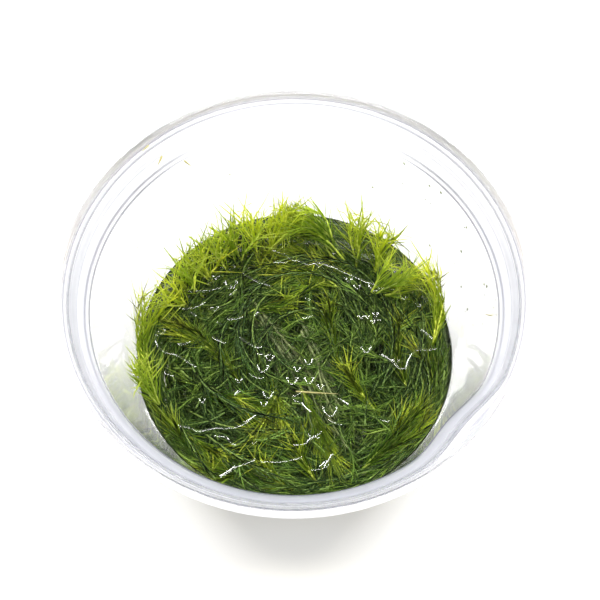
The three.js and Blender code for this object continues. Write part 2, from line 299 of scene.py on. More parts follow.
def lets_light_in(shader, seen, tint):
    """A clear stuff's shader, with its shadow as light as the real one's: light that falls
    through it isn't bent, so there are no caustics to find."""
    passed = shader.add("ShaderNodeBsdfTransparent", {}, {"Color": tint})
    ray = shader.add("ShaderNodeLightPath", {}, {}, "Is Shadow Ray")
    passing = ray.maths("MAXIMUM", ray, ray.output("Is Diffuse Ray"))
    return shader.add("ShaderNodeMixShader", {}, {0: passing, 1: seen, 2: passed})


def tub_material():
    """Clear plastic that turns milkier in the thick rim, with thin dark lines painted at its
    corners:
    painted shade standing for the light that the corners bend away. Each line is at a height,
    and has its half width, its strength and the share of it that shows all round: the rest shows
    at the tub's left and right. Lines are painted weaker at the front. The rim's milkiness is
    partly painted shade, a greyish lavender that is strongest at the front and clearer at the back."""
    material = bpy.data.materials.new("clear_plastic")
    shader = Shader(material)
    place = shader.add("ShaderNodeTexCoord", {}, {}, "Object")
    parts = shader.add("ShaderNodeSeparateXYZ", {}, {"Vector": place})
    height = parts.output("Z") / mm
    aside = parts / (WALL_TOP_RADIUS * mm)
    back = parts.output("Y") / (WALL_TOP_RADIUS * mm)
    turned = aside.size().fade(*SIDE_LINE_FADE)
    # Painted shade: dark lines at the rim's corners, for the light that they bend away.
    painted_lines = 0
    for line_height, half_width, strength, all_round in PAINTED_CORNER_LINES:
        line = (height - line_height).size().fade(0, half_width, strength, 0, "LINEAR")
        painted_lines = line * (all_round + (1 - all_round) * turned) + painted_lines
    painted_lines = painted_lines * back.fade(*FRONT_LINE_FADE, 1, FRONT_LINE_SHARE)

    satin = height.fade(*SATIN_START) * height.fade(*SATIN_END, 1, TOP_SATIN)
    level = shader.add("ShaderNodeCombineXYZ", {}, {0: parts, 1: parts.output("Y")})
    radius = shader.add("ShaderNodeVectorMath", {"operation": "LENGTH"}, {0: level}, "Value") / mm
    skirt = radius.fade(*SKIRT_START)
    # Painted shade: the rim's milkiness and its greyish colour are strongest at the front and weaker
    # at the back.
    haze_and_shade_by_side = back.fade(*BACK_FADE, 1, BACK_HAZE_AND_SHADE_SHARE)
    haze_and_shade_amount = WALL_HAZE + satin * haze_and_shade_by_side * (RIM_HAZE - WALL_HAZE) + skirt * haze_and_shade_by_side * SKIRT_HAZE
    haze_and_shade_tint = shader.add(
        "ShaderNodeMix", {"data_type": "RGBA"}, {0: skirt, 6: HAZE_AND_SHADE_COLOUR, 7: SKIRT_COLOUR}, 2)
    haze_shade_and_lines_colour = shader.add("ShaderNodeMix", {"data_type": "RGBA"}, {0: painted_lines, 6: haze_and_shade_tint, 7: PAINTED_LINE_SHADE}, 2)
    haze_and_shade_bsdf = shader.add("ShaderNodeBsdfPrincipled", {}, {"Base Color": haze_shade_and_lines_colour, "Roughness": 0.4})

    ripple = shader.add(
        "ShaderNodeTexNoise", {}, {"Vector": place, "Scale": RIPPLE_SCALE, "Detail": 2})
    bump = shader.add(
        "ShaderNodeBump", {},
        {"Height": ripple, "Strength": RIPPLE_STRENGTH, "Distance": RIPPLE_DEPTH})
    clear = shader.add(
        "ShaderNodeBsdfPrincipled", {},
        {"Base Color": PLASTIC_TINT, "IOR": 1.49, "Transmission Weight": 1,
         "Roughness": CLEAR_ROUGHNESS + satin * RIM_ROUGHNESS, "Normal": bump})
    shown = haze_and_shade_amount.maths("MAXIMUM", haze_and_shade_amount, painted_lines)
    seen = shader.add("ShaderNodeMixShader", {}, {0: shown, 1: clear, 2: haze_and_shade_bsdf})
    shader.add("ShaderNodeOutputMaterial", {}, {"Surface": lets_light_in(shader, seen, SHADE_TINT)})
    return material


tub_plastic = tub_material()

heel = wall_radius(0) + WALL_THICKNESS
skirt_foot = TUB_HEIGHT - SKIRT_DEPTH
skirt_inside = FLANGE_RADIUS - SKIRT_THICKNESS
recess_foot = WALL_TOP_HEIGHT - RECESS_HEIGHT
wall_rows = np.linspace(recess_foot, WALL_TOP_HEIGHT, RECESS_ROWS, endpoint=False)
outline = [(0, 0), (heel - HEEL_ROUND, 0), (wall_radius(HEEL_ROUND) + WALL_THICKNESS, HEEL_ROUND)]
outline += [(wall_radius(row) + WALL_THICKNESS, row) for row in wall_rows]
outline += [
    (WALL_TOP_RADIUS + WALL_THICKNESS, WALL_TOP_HEIGHT - SLOPE_DROP),
    (SEAT_RADIUS + WALL_THICKNESS, SEAT_HEIGHT - SLOPE_DROP),
    (LIP_RADIUS + WALL_THICKNESS, LIP_HEIGHT - SLOPE_DROP),
    (skirt_inside, TUB_HEIGHT - FLANGE_THICKNESS),
    (skirt_inside, skirt_foot),
    (FLANGE_RADIUS, skirt_foot),
    (FLANGE_RADIUS, TUB_HEIGHT),
    (FLANGE_RADIUS - FLANGE_TOP_WIDTH, TUB_HEIGHT),
    (LIP_RADIUS, LIP_HEIGHT),
    (SEAT_RADIUS, SEAT_HEIGHT),
    (WALL_TOP_RADIUS, WALL_TOP_HEIGHT),
]
outline += [(wall_radius(row), row) for row in wall_rows[::-1]]
floor_round = BASE_THICKNESS + HEEL_ROUND
outline += [
    (wall_radius(floor_round), floor_round),
    (wall_radius(BASE_THICKNESS) - HEEL_ROUND, BASE_THICKNESS),
    (0, BASE_THICKNESS),
]

tub = bmesh.new()
section = [tub.verts.new((radius, 0, height)) for radius, height in outline]
for near, far in zip(section, section[1:]):
    tub.edges.new((near, far))
bmesh.ops.bevel(
    tub, geom=section[1:-1], offset=CORNER_ROUND, offset_type="OFFSET", segments=3, profile=0.5,
    affect="VERTICES", material=-1)
bmesh.ops.spin(
    tub, geom=tub.verts[:] + tub.edges[:], cent=(0, 0, 0), axis=(0, 0, 1),
    angle=2 * math.pi, steps=TUB_STEPS, use_merge=True)
bmesh.ops.remove_doubles(tub, verts=tub.verts, dist=1e-4)
bmesh.ops.recalc_face_normals(tub, faces=tub.faces)
for vert in tub.verts:
    radius = math.hypot(vert.co.x, vert.co.y)
    turn = abs(math.atan2(vert.co.y, vert.co.x) - RECESS_BEARING) / RECESS_HALF_WIDTH
    if turn < 1 and vert.co.z > recess_foot:
        rise = min(1, (vert.co.z - recess_foot) / (RECESS_HEIGHT - SLOPE_DROP))
        fade = min(1, max(0, (skirt_inside - radius) / WALL_THICKNESS))
        push = RECESS_DEPTH * (0.5 + 0.5 * math.cos(math.pi * turn)) * rise * fade
        vert.co.x *= 1 - push / radius
        vert.co.y *= 1 - push / radius
bmesh.ops.scale(tub, vec=(mm, mm, mm), verts=tub.verts)
tub_mesh = bpy.data.meshes.new("clear_tub")
tub.to_mesh(tub_mesh)
tub.free()
new_piece("clear_tub", tub_mesh, tub_plastic, "cup_plastic", "cup")

# The gel
# Clear nutrient gel with a film of water on it fills the tub's foot and holds the plants. The
# water climbs the wall and stands up in thin ridges where it clings to leaves.
GEL_LEVEL = 17.6
GEL_OVERLAP = 0.12
GEL_CELLS = 205
FINE_CUTS = 3
FINE_REACH = 0.6
WALL_CLIMB = 0.12
CLIMB_WIDTH = 0.8
SWELLS = 9
SWELL_HEIGHT = 0.006
SWELL_PITCH = (5, 12)
KNOT_STEP = 2.2
KNOT_WAVER = 0.2
CREST_STEP = 0.5
RIDGE_WIDTH = 0.2
RIDGE_STEEPNESS = 0.58
STEEPER_TO_BACK = 0.0035
BUBBLE_WIDTH = 0.16
BUBBLE_STEEPNESS = 1.06
BUBBLE_FRONT = np.linspace(math.radians(-195), math.radians(15), 14)
WATER_LINES = [
    [(-7.5, 28.5), (-3, 26), (1.5, 23.5), (8.5, 23), (14, 20), (20.5, 17), (25, 16)],
    [(-12.5, 20.5), (-9.5, 18.5), (-6, 17)],
    [(-25.5, 15.5), (-22, 16), (-18.5, 16.5)],
    [(-15.5, 17), (-14.5, 16), (-15.5, 14.5)],
    [(-33, 3.5), (-32.4, 0.5), (-28, -1.5), (-23.5, -4.5)],
    [(-13, 3), (-10, 1), (-8, 0.5)],
    [(-10.5, -6.5), (-9, -7.6), (-7.5, -7.5)],
    [(20.5, -1.5), (25.5, -5), (28.5, -0.5), (33.5, 0)],
    [(0, -13), (2, -14), (3.5, -16)],
    [(-16.5, -31.5), (-13, -29), (-9, -27.5)],
    [(-7.5, -28), (-3.5, -28), (1.5, -27)],
    [(-26.5, -19.5), (-22, -20.5), (-18, -20), (-13, -19.5), (-9, -17)],
    [(-18, -22), (-15.5, -22.5), (-13.5, -24)],
    [(0, -24), (3, -23.4), (6, -21)],
    [(8.5, -26.5), (7.6, -28), (7, -29)],
    [(4, -30), (5.5, -30), (7.5, -29)],
    [(-30.5, 11.5), (-25.5, 11), (-22, 12.5)],
]
WATER_BUBBLES = [
    (-7.5, -4.7, 1.2), (-0.6, -7.8, 1.2), (3.4, -7.8, 1), (-6.2, -11.4, 1.1), (-7.1, -13.8, 0.7),
    (8.2, -15.4, 1.5), (3.3, -3, 0.9), (0.6, -5, 0.7), (-5.9, -2, 0.9), (17, 0.3, 1.1),
    (16, 8.6, 0.5), (17.5, 8.6, 0.45), (19.6, 9.4, 0.6), (18.9, 7.4, 0.45), (15.3, 17, 0.7),
    (19.6, 17, 1.3), (-19.4, 11, 0.7), (-21.5, -13, 0.6), (5.9, 23.1, 0.6), (13.3, 19, 0.7),
    (26.5, 14, 0.6), (30.2, 11.9, 0.5), (-15.7, 17.9, 1.4), (-18.2, 22.8, 0.6),
    (-19.5, 19.7, 0.7), (-32, 4.8, 0.8), (6, -9.5, 0.6), (-13, -8, 0.6), (24, -3, 0.7),
]
SMALL_RIDGES = 26
SMALL_RIDGE_AREA = 0.9
SMALL_RIDGE_SLANT = 0.9
SMALL_RIDGE_HALF_LENGTH = (0.4, 1.6)
SMALL_RIDGE_WIDTH = (0.16, 0.22)
GEL_TINT = (0.9, 0.96, 0.8, 1)
GEL_SHADE = (0.97, 0.975, 0.95, 1)
FILM_START = GEL_LEVEL - 1
FILM_FULL = GEL_LEVEL - 0.4


def distance_to_line(x, y, line):
    """Distance of each point from a line of straight stretches."""
    nearest = np.full(x.shape, 1e9)
    for (x0, y0), (x1, y1) in zip(line, line[1:]):
        dx, dy = x1 - x0, y1 - y0
        share = np.clip(((x - x0) * dx + (y - y0) * dy) / (dx * dx + dy * dy), 0, 1)
        nearest = np.minimum(nearest, np.hypot(x - x0 - share * dx, y - y0 - share * dy))
    return nearest


def smooth_line(knots, step):
    """Points a step apart on a smooth curve through the knots."""
    length = np.linalg.norm(np.diff(knots, axis=0), axis=1).sum()
    count = max(4, round(length / step) + 1)
    padded = np.vstack([2 * knots[0] - knots[1], knots, 2 * knots[-1] - knots[-2]])
    at = np.linspace(0, len(knots) - 1, count)
    first = np.minimum(at.astype(int), len(knots) - 2)
    t = (at - first)[:, None]
    a, b, c, d = padded[first], padded[first + 1], padded[first + 2], padded[first + 3]
    return 0.5 * (2 * b + (c - a) * t + (2 * a - 5 * b + 4 * c - d) * t ** 2
                  + (3 * b - a - 3 * c + d) * t ** 3)


def water_marks():
    """Every ridge of the wet surface: the line along its crest, its width and its height. Ridges
    stand along leaves and round the front of bubbles, and are steeper towards the back, where
    they have to tilt more to catch the strip's light."""
    luck = np.random.default_rng(5)
    lines = []
    for knots in WATER_LINES:
        crest = smooth_line(np.array(knots), KNOT_STEP)
        crest[1:-1] += luck.normal(0, KNOT_WAVER, crest[1:-1].shape)
        lines.append((smooth_line(crest, CREST_STEP), RIDGE_WIDTH, 1))
    for x, y, radius in WATER_BUBBLES:
        across, along = radius * np.cos(BUBBLE_FRONT), radius * np.sin(BUBBLE_FRONT)
        lines.append((np.column_stack([x + across, y + along]), BUBBLE_WIDTH, BUBBLE_STEEPNESS))
    for ridge in range(SMALL_RIDGES):
        reach = GEL_RADIUS * math.sqrt(luck.uniform(0, SMALL_RIDGE_AREA))
        bearing = luck.uniform(0, 2 * math.pi)
        middle = np.array([reach * math.cos(bearing), reach * math.sin(bearing)])
        slant = luck.uniform(-SMALL_RIDGE_SLANT, SMALL_RIDGE_SLANT)
        half = np.array([math.cos(slant), math.sin(slant)])
        half *= luck.uniform(*SMALL_RIDGE_HALF_LENGTH)
        width = luck.uniform(*SMALL_RIDGE_WIDTH)
        lines.append((np.array([middle - half, middle + half]), width, 1))
    return [
        (line, width, width * steep * (RIDGE_STEEPNESS + STEEPER_TO_BACK * line[:, 1].mean()))
        for line, width, steep in lines]


def water_height(x, y, marks):
    """Height of the wet surface over each point of the tub, and whether it is near a mark."""
    luck = np.random.default_rng(6)
    height = np.full(x.shape, float(GEL_LEVEL))
    near = np.zeros(x.shape, bool)
    for swell in range(SWELLS):
        bearing = luck.uniform(0, math.pi)
        pitch = luck.uniform(*SWELL_PITCH)
        along = (x * math.cos(bearing) + y * math.sin(bearing)) * 2 * math.pi / pitch
        height += SWELL_HEIGHT * np.sin(along + luck.uniform(0, 6))
    for line, width, tall in marks:
        off = distance_to_line(x, y, line)
        height += tall * np.exp(-(off / width) ** 2)
        near |= off < FINE_REACH
    inward = GEL_RADIUS - np.hypot(x, y)
    return height + WALL_CLIMB * np.exp(-inward / CLIMB_WIDTH), near


GEL_RADIUS = float(wall_radius(GEL_LEVEL)) + GEL_OVERLAP
gel = bmesh.new()
bmesh.ops.create_grid(gel, x_segments=GEL_CELLS, y_segments=GEL_CELLS, size=1)
for vert in gel.verts:
    x, y = vert.co.x, vert.co.y
    vert.co.x = GEL_RADIUS * x * math.sqrt(1 - y * y / 2)
    vert.co.y = GEL_RADIUS * y * math.sqrt(1 - x * x / 2)
marks = water_marks()
middles = np.array([(edge.verts[0].co + edge.verts[1].co) / 2 for edge in gel.edges])
near = water_height(middles[:, 0], middles[:, 1], marks)[1]
near &= np.hypot(middles[:, 0], middles[:, 1]) < GEL_RADIUS - CLIMB_WIDTH
fine = [edge for edge, beside in zip(gel.edges, near) if beside]
bmesh.ops.subdivide_edges(gel, edges=fine, cuts=FINE_CUTS, use_grid_fill=True)
flat = np.array([vert.co for vert in gel.verts])
for vert, z in zip(gel.verts, water_height(flat[:, 0], flat[:, 1], marks)[0]):
    vert.co.z = z
rim = [edge for edge in gel.edges if edge.is_boundary]
for height, radius in (
    (GEL_LEVEL, GEL_RADIUS),
    (floor_round, float(wall_radius(floor_round)) + GEL_OVERLAP),
    (BASE_THICKNESS - GEL_OVERLAP, float(wall_radius(BASE_THICKNESS)) - HEEL_ROUND + GEL_OVERLAP),
):
    made = bmesh.ops.extrude_edge_only(gel, edges=rim)["geom"]
    rim = [part for part in made if isinstance(part, bmesh.types.BMEdge)]
    for vert in {vert for edge in rim for vert in edge.verts}:
        scale = radius / math.hypot(vert.co.x, vert.co.y)
        vert.co = (vert.co.x * scale, vert.co.y * scale, height)
bmesh.ops.edgeloop_fill(gel, edges=rim)
bmesh.ops.recalc_face_normals(gel, faces=gel.faces)
bmesh.ops.scale(gel, vec=(mm, mm, mm), verts=gel.verts)
gel_mesh = bpy.data.meshes.new("clear_gel")
gel.to_mesh(gel_mesh)
gel.free()
gel_stuff = bpy.data.materials.new("clear_gel")
shader = Shader(gel_stuff)
place = shader.add("ShaderNodeTexCoord", {}, {}, "Object")
height = shader.add("ShaderNodeSeparateXYZ", {}, {"Vector": place}, "Z") / mm
film = height.fade(FILM_START, FILM_FULL, way="LINEAR")
wet = shader.add(
    "ShaderNodeBsdfPrincipled", {},
    {"Base Color": GEL_TINT, "IOR": 1.335, "Roughness": 0, "Transmission Weight": 1,
     "Coat Weight": film, "Coat IOR": 1.7, "Coat Roughness": 0.06})
shader.add("ShaderNodeOutputMaterial", {}, {"Surface": lets_light_in(shader, wet, GEL_SHADE)})
new_piece("clear_gel", gel_mesh, gel_stuff, "gel", "gel")

# The shoots
# Each shoot is a thread-like stem set all round with needle leaves, in a dense star at its tip.
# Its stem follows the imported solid, and thinner side shoots keep it company.
FINE_LEAF = [(0.18, 1.3), (0.37, 0.66), (0.3, 0.5)]
PLAIN_LEAF = [(0.35, 1.15)]
LEAF_FOOT_RADIUS = 0.58
LEAF_KEEL = 0.45
STEM_STEP = 1.1
STEM_SIDES = 5
JOINT_TAPER = 0.94
WALL_GAP = 0.12
FLOOR_GAP = 0.25
WET_DEPTH = 0.2
WET_SPREAD = 1.4


def template_arrays(shape):
    """The vertices and triangles of a small shape, for copying."""
    bmesh.ops.triangulate(shape, faces=shape.faces)
    bmesh.ops.recalc_face_normals(shape, faces=shape.faces)
    shape.verts.index_update()
    points = np.array([vert.co for vert in shape.verts])
    faces = np.array([[vert.index for vert in face.verts] for face in shape.faces])
    shape.free()
    return points, faces


def needle_template(steps):
    """One needle leaf, 1 long along Z and 1 across at its foot, keeled along its back. Each step
    is how far up its next section lies and how much wider than the last it is."""
    leaf = bmesh.new()
    bmesh.ops.create_circle(leaf, cap_ends=True, segments=3, radius=LEAF_FOOT_RADIUS)
    bmesh.ops.scale(leaf, vec=(1, LEAF_KEEL, 1), verts=leaf.verts)
    tip_face = leaf.faces[:]
    for step, swell in steps:
        made = bmesh.ops.extrude_face_region(leaf, geom=tip_face)["geom"]
        ring = [part for part in made if isinstance(part, bmesh.types.BMVert)]
        tip_face = [part for part in made if isinstance(part, bmesh.types.BMFace)]
        bmesh.ops.translate(leaf, vec=(0, 0, step), verts=ring)
        bmesh.ops.scale(leaf, vec=(swell, swell, 1), verts=ring)
    made = bmesh.ops.extrude_face_region(leaf, geom=tip_face)["geom"]
    ring = [part for part in made if isinstance(part, bmesh.types.BMVert)]
    bmesh.ops.pointmerge(leaf, verts=ring, merge_co=(0, 0, 1))
    return template_arrays(leaf)


def joint_template():
    """One short length of stem, 1 long along Z and of radius 1."""
    joint = bmesh.new()
    bmesh.ops.create_cone(
        joint, cap_ends=True, segments=STEM_SIDES, radius1=1, radius2=JOINT_TAPER, depth=1)
    bmesh.ops.translate(joint, vec=(0, 0, 0.5), verts=joint.verts)
    return template_arrays(joint)


FINE_NEEDLE = needle_template(FINE_LEAF)
PLAIN_NEEDLE = needle_template(PLAIN_LEAF)
JOINT = joint_template()


def unit(vectors):
    """The directions of some vectors."""
    return vectors / np.linalg.norm(vectors, axis=-1, keepdims=True)


def copies(template, places, along, up, length, width, bend, age, luck):
    """Copies of a template, each with its own place, direction, size and bend, as three arrays:
    points, triangles and growth, which holds the age, the share along the leaf, and chance."""
    points, faces = template
    side = unit(np.cross(along, up))
    up = np.cross(side, along)
    x, y, z = points[None, :, 0, None], points[None, :, 1, None], points[None, :, 2, None]
    wide = width[:, None, None]
    long = length[:, None, None]
    made = places[:, None] + x * wide * side[:, None] + z * long * along[:, None]
    made += (y * wide + bend[:, None, None] * long * z ** 2) * up[:, None]
    count, size = len(places), len(points)
    growth = np.ones((count, size, 4))
    growth[:, :, 0] = age[:, None]
    growth[:, :, 1] = points[None, :, 2]
    growth[:, :, 2] = luck[:, None]
    triangles = faces[None] + size * np.arange(count)[:, None, None]
    return made.reshape(-1, 3), triangles.reshape(-1, 3), growth.reshape(-1, 4)


def stem_line(node):
    """The middle of a packed shoot's stem from foot to tip, read ring by ring, in millimetres."""
    solid = bmesh.new()
    solid.from_mesh(frame["nodes"][node].data)
    bmesh.ops.remove_doubles(solid, verts=solid.verts, dist=1e-6)
    ends = []
    for vert in solid.verts:
        beside = [edge.other_vert(vert) for edge in vert.link_edges]
        if len(beside) == 6 and all(len(other.link_edges) <= 6 for other in beside):
            middle = sum((other.co for other in beside), Vector()) / 6
            ends.append(((vert.co - middle).length, vert))
    foot = min(ends, key=lambda end: end[0])[1]
    seen = {foot}
    ring = [foot]
    line = []
    while ring:
        beside = {edge.other_vert(vert) for vert in ring for edge in vert.link_edges}
        ring = [vert for vert in beside if vert not in seen]
        seen.update(ring)
        core = sorted(ring, key=lambda vert: (-len(vert.link_edges), vert.index))[:3]
        if core:
            line.append(sum((vert.co for vert in core), Vector()) / len(core) / mm)
    solid.free()
    return np.array(line)


def held_in_tub(points, standing):
    """Keeps points off the wall and the floor, and a lying shoot's leaves under the water."""
    z = np.maximum(points[:, 2], BASE_THICKNESS + FLOOR_GAP)
    if not standing:
        start = GEL_LEVEL - WET_DEPTH - WET_SPREAD
        above = np.maximum(z - start, 0)
        z = np.minimum(z, start) + WET_SPREAD * (1 - np.exp(-above / WET_SPREAD))
    radius = np.hypot(points[:, 0], points[:, 1])
    most = wall_radius(z) - WALL_GAP
    squeeze = np.minimum(1, most / np.maximum(radius, 1e-6))
    return np.column_stack([points[:, 0] * squeeze, points[:, 1] * squeeze, z])


SKEWED_UP = np.array([0.31, 0.17, 0.93])


def across(tangents):
    """Two directions square to each tangent."""
    first = unit(np.cross(tangents, SKEWED_UP))
    return first, np.cross(tangents, first)


def read_along(line, marks, at):
    """The points that lie at some marks along a line, whose own points have marks too."""
    return np.column_stack([np.interp(at, marks, line[:, i]) for i in range(3)])


SIDE_SHARE = 0.85
SIDE_STARTS = (0.05, 0.5)
SIDE_LEAST = 0.3
SIDE_STOP = 0.75
BESIDE_STARTS = (0, 0.35)
BESIDE_STOPS = (0.65, 1)
SIDE_SPREADS = (0.5, 1.15)
SIDE_TURN = 1.6
SIDE_OPENING = 0.8
SIDE_WAVER = 0.35
SIDE_WAVES = (2, 7)
LIFT_SHARES = (0.1, 1)
STRAY_SHARES = (0.2, 1)


def side_shoot(line, habit, luck):
    """A side shoot, which leaves the main stem at one share of its length and ends at another.
    It runs beside the main stem the whole way where its habit's apart is 1, and leaves it slowly
    at 0."""
    apart = habit["apart"]
    if apart > 0.5:
        start = luck.uniform(*BESIDE_STARTS)
        stop = luck.uniform(*BESIDE_STOPS)
    else:
        start = luck.uniform(*SIDE_STARTS)
        stop = luck.uniform(max(start + SIDE_LEAST, SIDE_STOP), 1)
    spread = habit["spread"] * luck.uniform(*SIDE_SPREADS)
    span = np.linalg.norm(np.diff(line, axis=0), axis=1).sum() * (stop - start)
    count = max(5, round(span / STEM_STEP))
    shares = np.linspace(start, stop, count) * (len(line) - 1)
    middle = read_along(line, np.arange(len(line)), shares)
    first, second = across(unit(np.gradient(middle, axis=0)))
    run = np.linspace(0, 1, count)
    bearing = luck.uniform(0, 2 * math.pi) + luck.uniform(-SIDE_TURN, SIDE_TURN) * run
    reach = spread * (apart + (1 - apart) * run ** SIDE_OPENING)
    reach = reach * (1 + SIDE_WAVER * np.sin(luck.uniform(0, 6) + run * luck.uniform(*SIDE_WAVES)))
    drift = first * np.cos(bearing)[:, None] + second * np.sin(bearing)[:, None]
    lift = habit["lift"] * luck.uniform(*LIFT_SHARES) * np.sin(math.pi * run) ** 0.5
    heading = luck.uniform(0, 2 * math.pi)
    stray = habit["stray"] * luck.uniform(*STRAY_SHARES) * run
    away = np.column_stack([stray * math.cos(heading), stray * math.sin(heading), lift])
    return middle + drift * reach[:, None] + away


LOOSE_POINTS = 18
LOOSE_REACH = 31
LOOSE_LENGTHS = (16, 30)
LOOSE_BOW = 0.012
LOOSE_WAVER = 0.5
LOOSE_TILT = 0.06


def loose_shoot(depth, luck):
    """A shoot that lies anywhere in a layer of the gel, in any direction."""
    place = LOOSE_REACH * math.sqrt(luck.uniform(0, 1))
    bearing = luck.uniform(0, 2 * math.pi)
    heading = luck.uniform(0, 2 * math.pi)
    along = np.linspace(-0.5, 0.5, LOOSE_POINTS) * luck.uniform(*LOOSE_LENGTHS)
    aside = luck.uniform(-LOOSE_BOW, LOOSE_BOW) * along ** 2
    aside += LOOSE_WAVER * np.sin(along / 2 + bearing)
    x = place * math.cos(bearing) + along * math.cos(heading) - aside * math.sin(heading)
    y = place * math.sin(bearing) + along * math.sin(heading) + aside * math.cos(heading)
    height = luck.uniform(*depth) + luck.uniform(-LOOSE_TILT, LOOSE_TILT) * along
    return np.column_stack([x, y, height])


WALL_STARTS = (-35, 125)
WALL_SPANS = (0.45, 0.9)
WALL_RISE = 2
WALL_DISTANCES = (0.5, 8)
WALL_WAVER = 0.6
WALL_WAVES = 9


def wall_shoot(line, depth, luck):
    """A shoot that has grown along the wall, beside a main stem that lies round the tub."""
    start = math.atan2(line[0][1], line[0][0]) + math.radians(luck.uniform(*WALL_STARTS))
    run = np.linspace(0, 1, LOOSE_POINTS)
    bearing = start + run * luck.uniform(*WALL_SPANS) * luck.choice([-1, 1])
    height = luck.uniform(*depth) + luck.uniform(-WALL_RISE, WALL_RISE) * run
    radius = wall_radius(height) - luck.uniform(*WALL_DISTANCES)
    radius += WALL_WAVER * np.sin(bearing * WALL_WAVES + luck.uniform(0, 6))
    return np.column_stack([radius * np.cos(bearing), radius * np.sin(bearing), height])


SHOOT_TONE = 0.6
LEAF_TONE = 0.4
STEM_TONE = 0.3
STEM_AGES = (0.4, 1)
STEM_PALENESS = 0.9
STEM_THINNING = 0.5
JOINT_OVERLAP = 1.08
FEWEST_LEAVES = 8
LEAFLESS_FOOT = 0.03
GOLDEN_ANGLE = math.radians(137.5)
BEARING_SPREAD = 0.3
FLARE_SHARES = (0.25, 1)
LEAN_SPREAD = 6
TIP_SHORTENING = 0.25
TIP_REACH = 0.8
WORN_LENGTH = 12
LEAF_LENGTHS = (0.72, 1.08)
FOOT_WIDTH_SHARE = 0.75
LEAF_WIDTHS = (0.8, 1.15)
BEND_SPREAD = 0.1


def leafed(stem, habit, luck, share=1.0):
    """The stem and the leaves of one shoot, as lists of points, triangles and growth."""
    tone = luck.uniform(0, SHOOT_TONE)
    along = unit(np.gradient(stem, axis=0))
    steps = np.linalg.norm(np.diff(stem, axis=0), axis=1)
    run = np.concatenate([[0], np.cumsum(steps)])
    total = run[-1]
    girth = habit["girth"] * share * (1 - STEM_THINNING * run / total)
    lead = unit(stem[1:] - stem[:-1])
    age = np.interp(total - run, (0, habit["young"]), STEM_AGES[::-1])
    sticks = copies(
        JOINT, stem[:-1], lead, across(along)[0][:-1], steps * JOINT_OVERLAP, girth[:-1],
        np.zeros(len(lead)), age[:-1], np.full(len(lead), STEM_TONE + tone))
    sticks[2][:, 1] = STEM_PALENESS

    count = max(FEWEST_LEAVES, round(total * habit["density"]))
    at = total * np.linspace(LEAFLESS_FOOT, 1, count) ** habit["crowding"]
    fromtip = total - at
    tangent = unit(read_along(along, run, at))
    first, second = across(tangent)
    bearing = GOLDEN_ANGLE * np.arange(count) + luck.normal(0, BEARING_SPREAD, count)
    outward = first * np.cos(bearing)[:, None] + second * np.sin(bearing)[:, None]
    star = np.exp(-(fromtip / habit["tuft"]) ** 2)
    flare = habit["flare"] * luck.uniform(*FLARE_SHARES, count)
    lean = habit["lean"] * (1 - star) + flare * star + luck.normal(0, LEAN_SPREAD, count)
    lean = np.radians(lean)[:, None]
    point = unit(tangent * np.cos(lean) + outward * np.sin(lean))
    grown = 1 - TIP_SHORTENING * np.exp(-fromtip / TIP_REACH)
    worn = 1 - (1 - habit["worn"]) * np.clip(fromtip / max(total, WORN_LENGTH), 0, 1)
    length = habit["leaf"] * share ** 0.5 * grown * worn * luck.uniform(*LEAF_LENGTHS, count)
    width = habit["width"] * (FOOT_WIDTH_SHARE + (1 - FOOT_WIDTH_SHARE) * grown)
    width = width * luck.uniform(*LEAF_WIDTHS, count)
    bend = luck.normal(habit["bend"], BEND_SPREAD, count)
    leaf_age = np.clip(1 - fromtip / habit["young"], 0, 1)
    blades = copies(
        habit["needle"], read_along(stem, run, at), point, tangent, length, width, bend,
        leaf_age, tone + luck.uniform(0, LEAF_TONE, count))
    return [sticks, blades]


def joined(parts):
    """Several sets of points, triangles and growth as one."""
    points, triangles, growth = zip(*parts)
    offsets = np.cumsum([0] + [len(some) for some in points[:-1]])
    moved = [some + offset for some, offset in zip(triangles, offsets)]
    return np.vstack(points), np.vstack(moved), np.vstack(growth)


PATCH_SCALE = 120
PATCH_STRENGTH = 0.5
GROWN_AGE = 0.45
PALING_START = 0.55
TIP_PALENESS = 0.5
LEAST_HUE = 0.525
HUE_RANGE = 0.035
LEAST_VALUE = 0.62
VALUE_RANGE = 0.6


def leaf_material(name, old, grown, young, tip, roughness, glow):
    """Moss leaf: the colour runs from old to young with the growth attribute, pales towards the
    leaf's tip, and differs a little from leaf to leaf and from place to place."""
    material = bpy.data.materials.new(name)
    shader = Shader(material)
    read = shader.add("ShaderNodeAttribute", {"attribute_name": "growth"}, {})
    parts = shader.add("ShaderNodeSeparateColor", {}, {"Color": read})
    place = shader.add("ShaderNodeTexCoord", {}, {}, "Object")
    patch = shader.add(
        "ShaderNodeTexNoise", {}, {"Vector": place, "Scale": PATCH_SCALE, "Detail": 2})
    age = parts.output("Red") + (patch - 0.5) * PATCH_STRENGTH
    base = shader.add(
        "ShaderNodeValToRGB", {"stops": [(0, old), (GROWN_AGE, grown), (1, young)]}, {0: age})
    paling = parts.output("Green").fade(PALING_START, 1, 0, TIP_PALENESS, "LINEAR")
    paled = shader.add("ShaderNodeMix", {"data_type": "RGBA"}, {0: paling, 6: base, 7: (*tip, 1)}, 2)
    chance = parts.output("Blue")
    varied = shader.add(
        "ShaderNodeHueSaturation", {},
        {"Hue": LEAST_HUE - chance * HUE_RANGE, "Value": LEAST_VALUE + chance * VALUE_RANGE,
         "Color": paled})
    surface = shader.add(
        "ShaderNodeBsdfPrincipled", {},
        {"Base Color": varied, "Roughness": roughness, "Specular IOR Level": 0.35})
    if glow:
        through = shader.add("ShaderNodeBsdfTranslucent", {}, {"Color": varied})
        surface = shader.add("ShaderNodeMixShader", {}, {0: glow, 1: surface, 2: through})
    shader.add("ShaderNodeOutputMaterial", {}, {"Surface": surface})
    return material


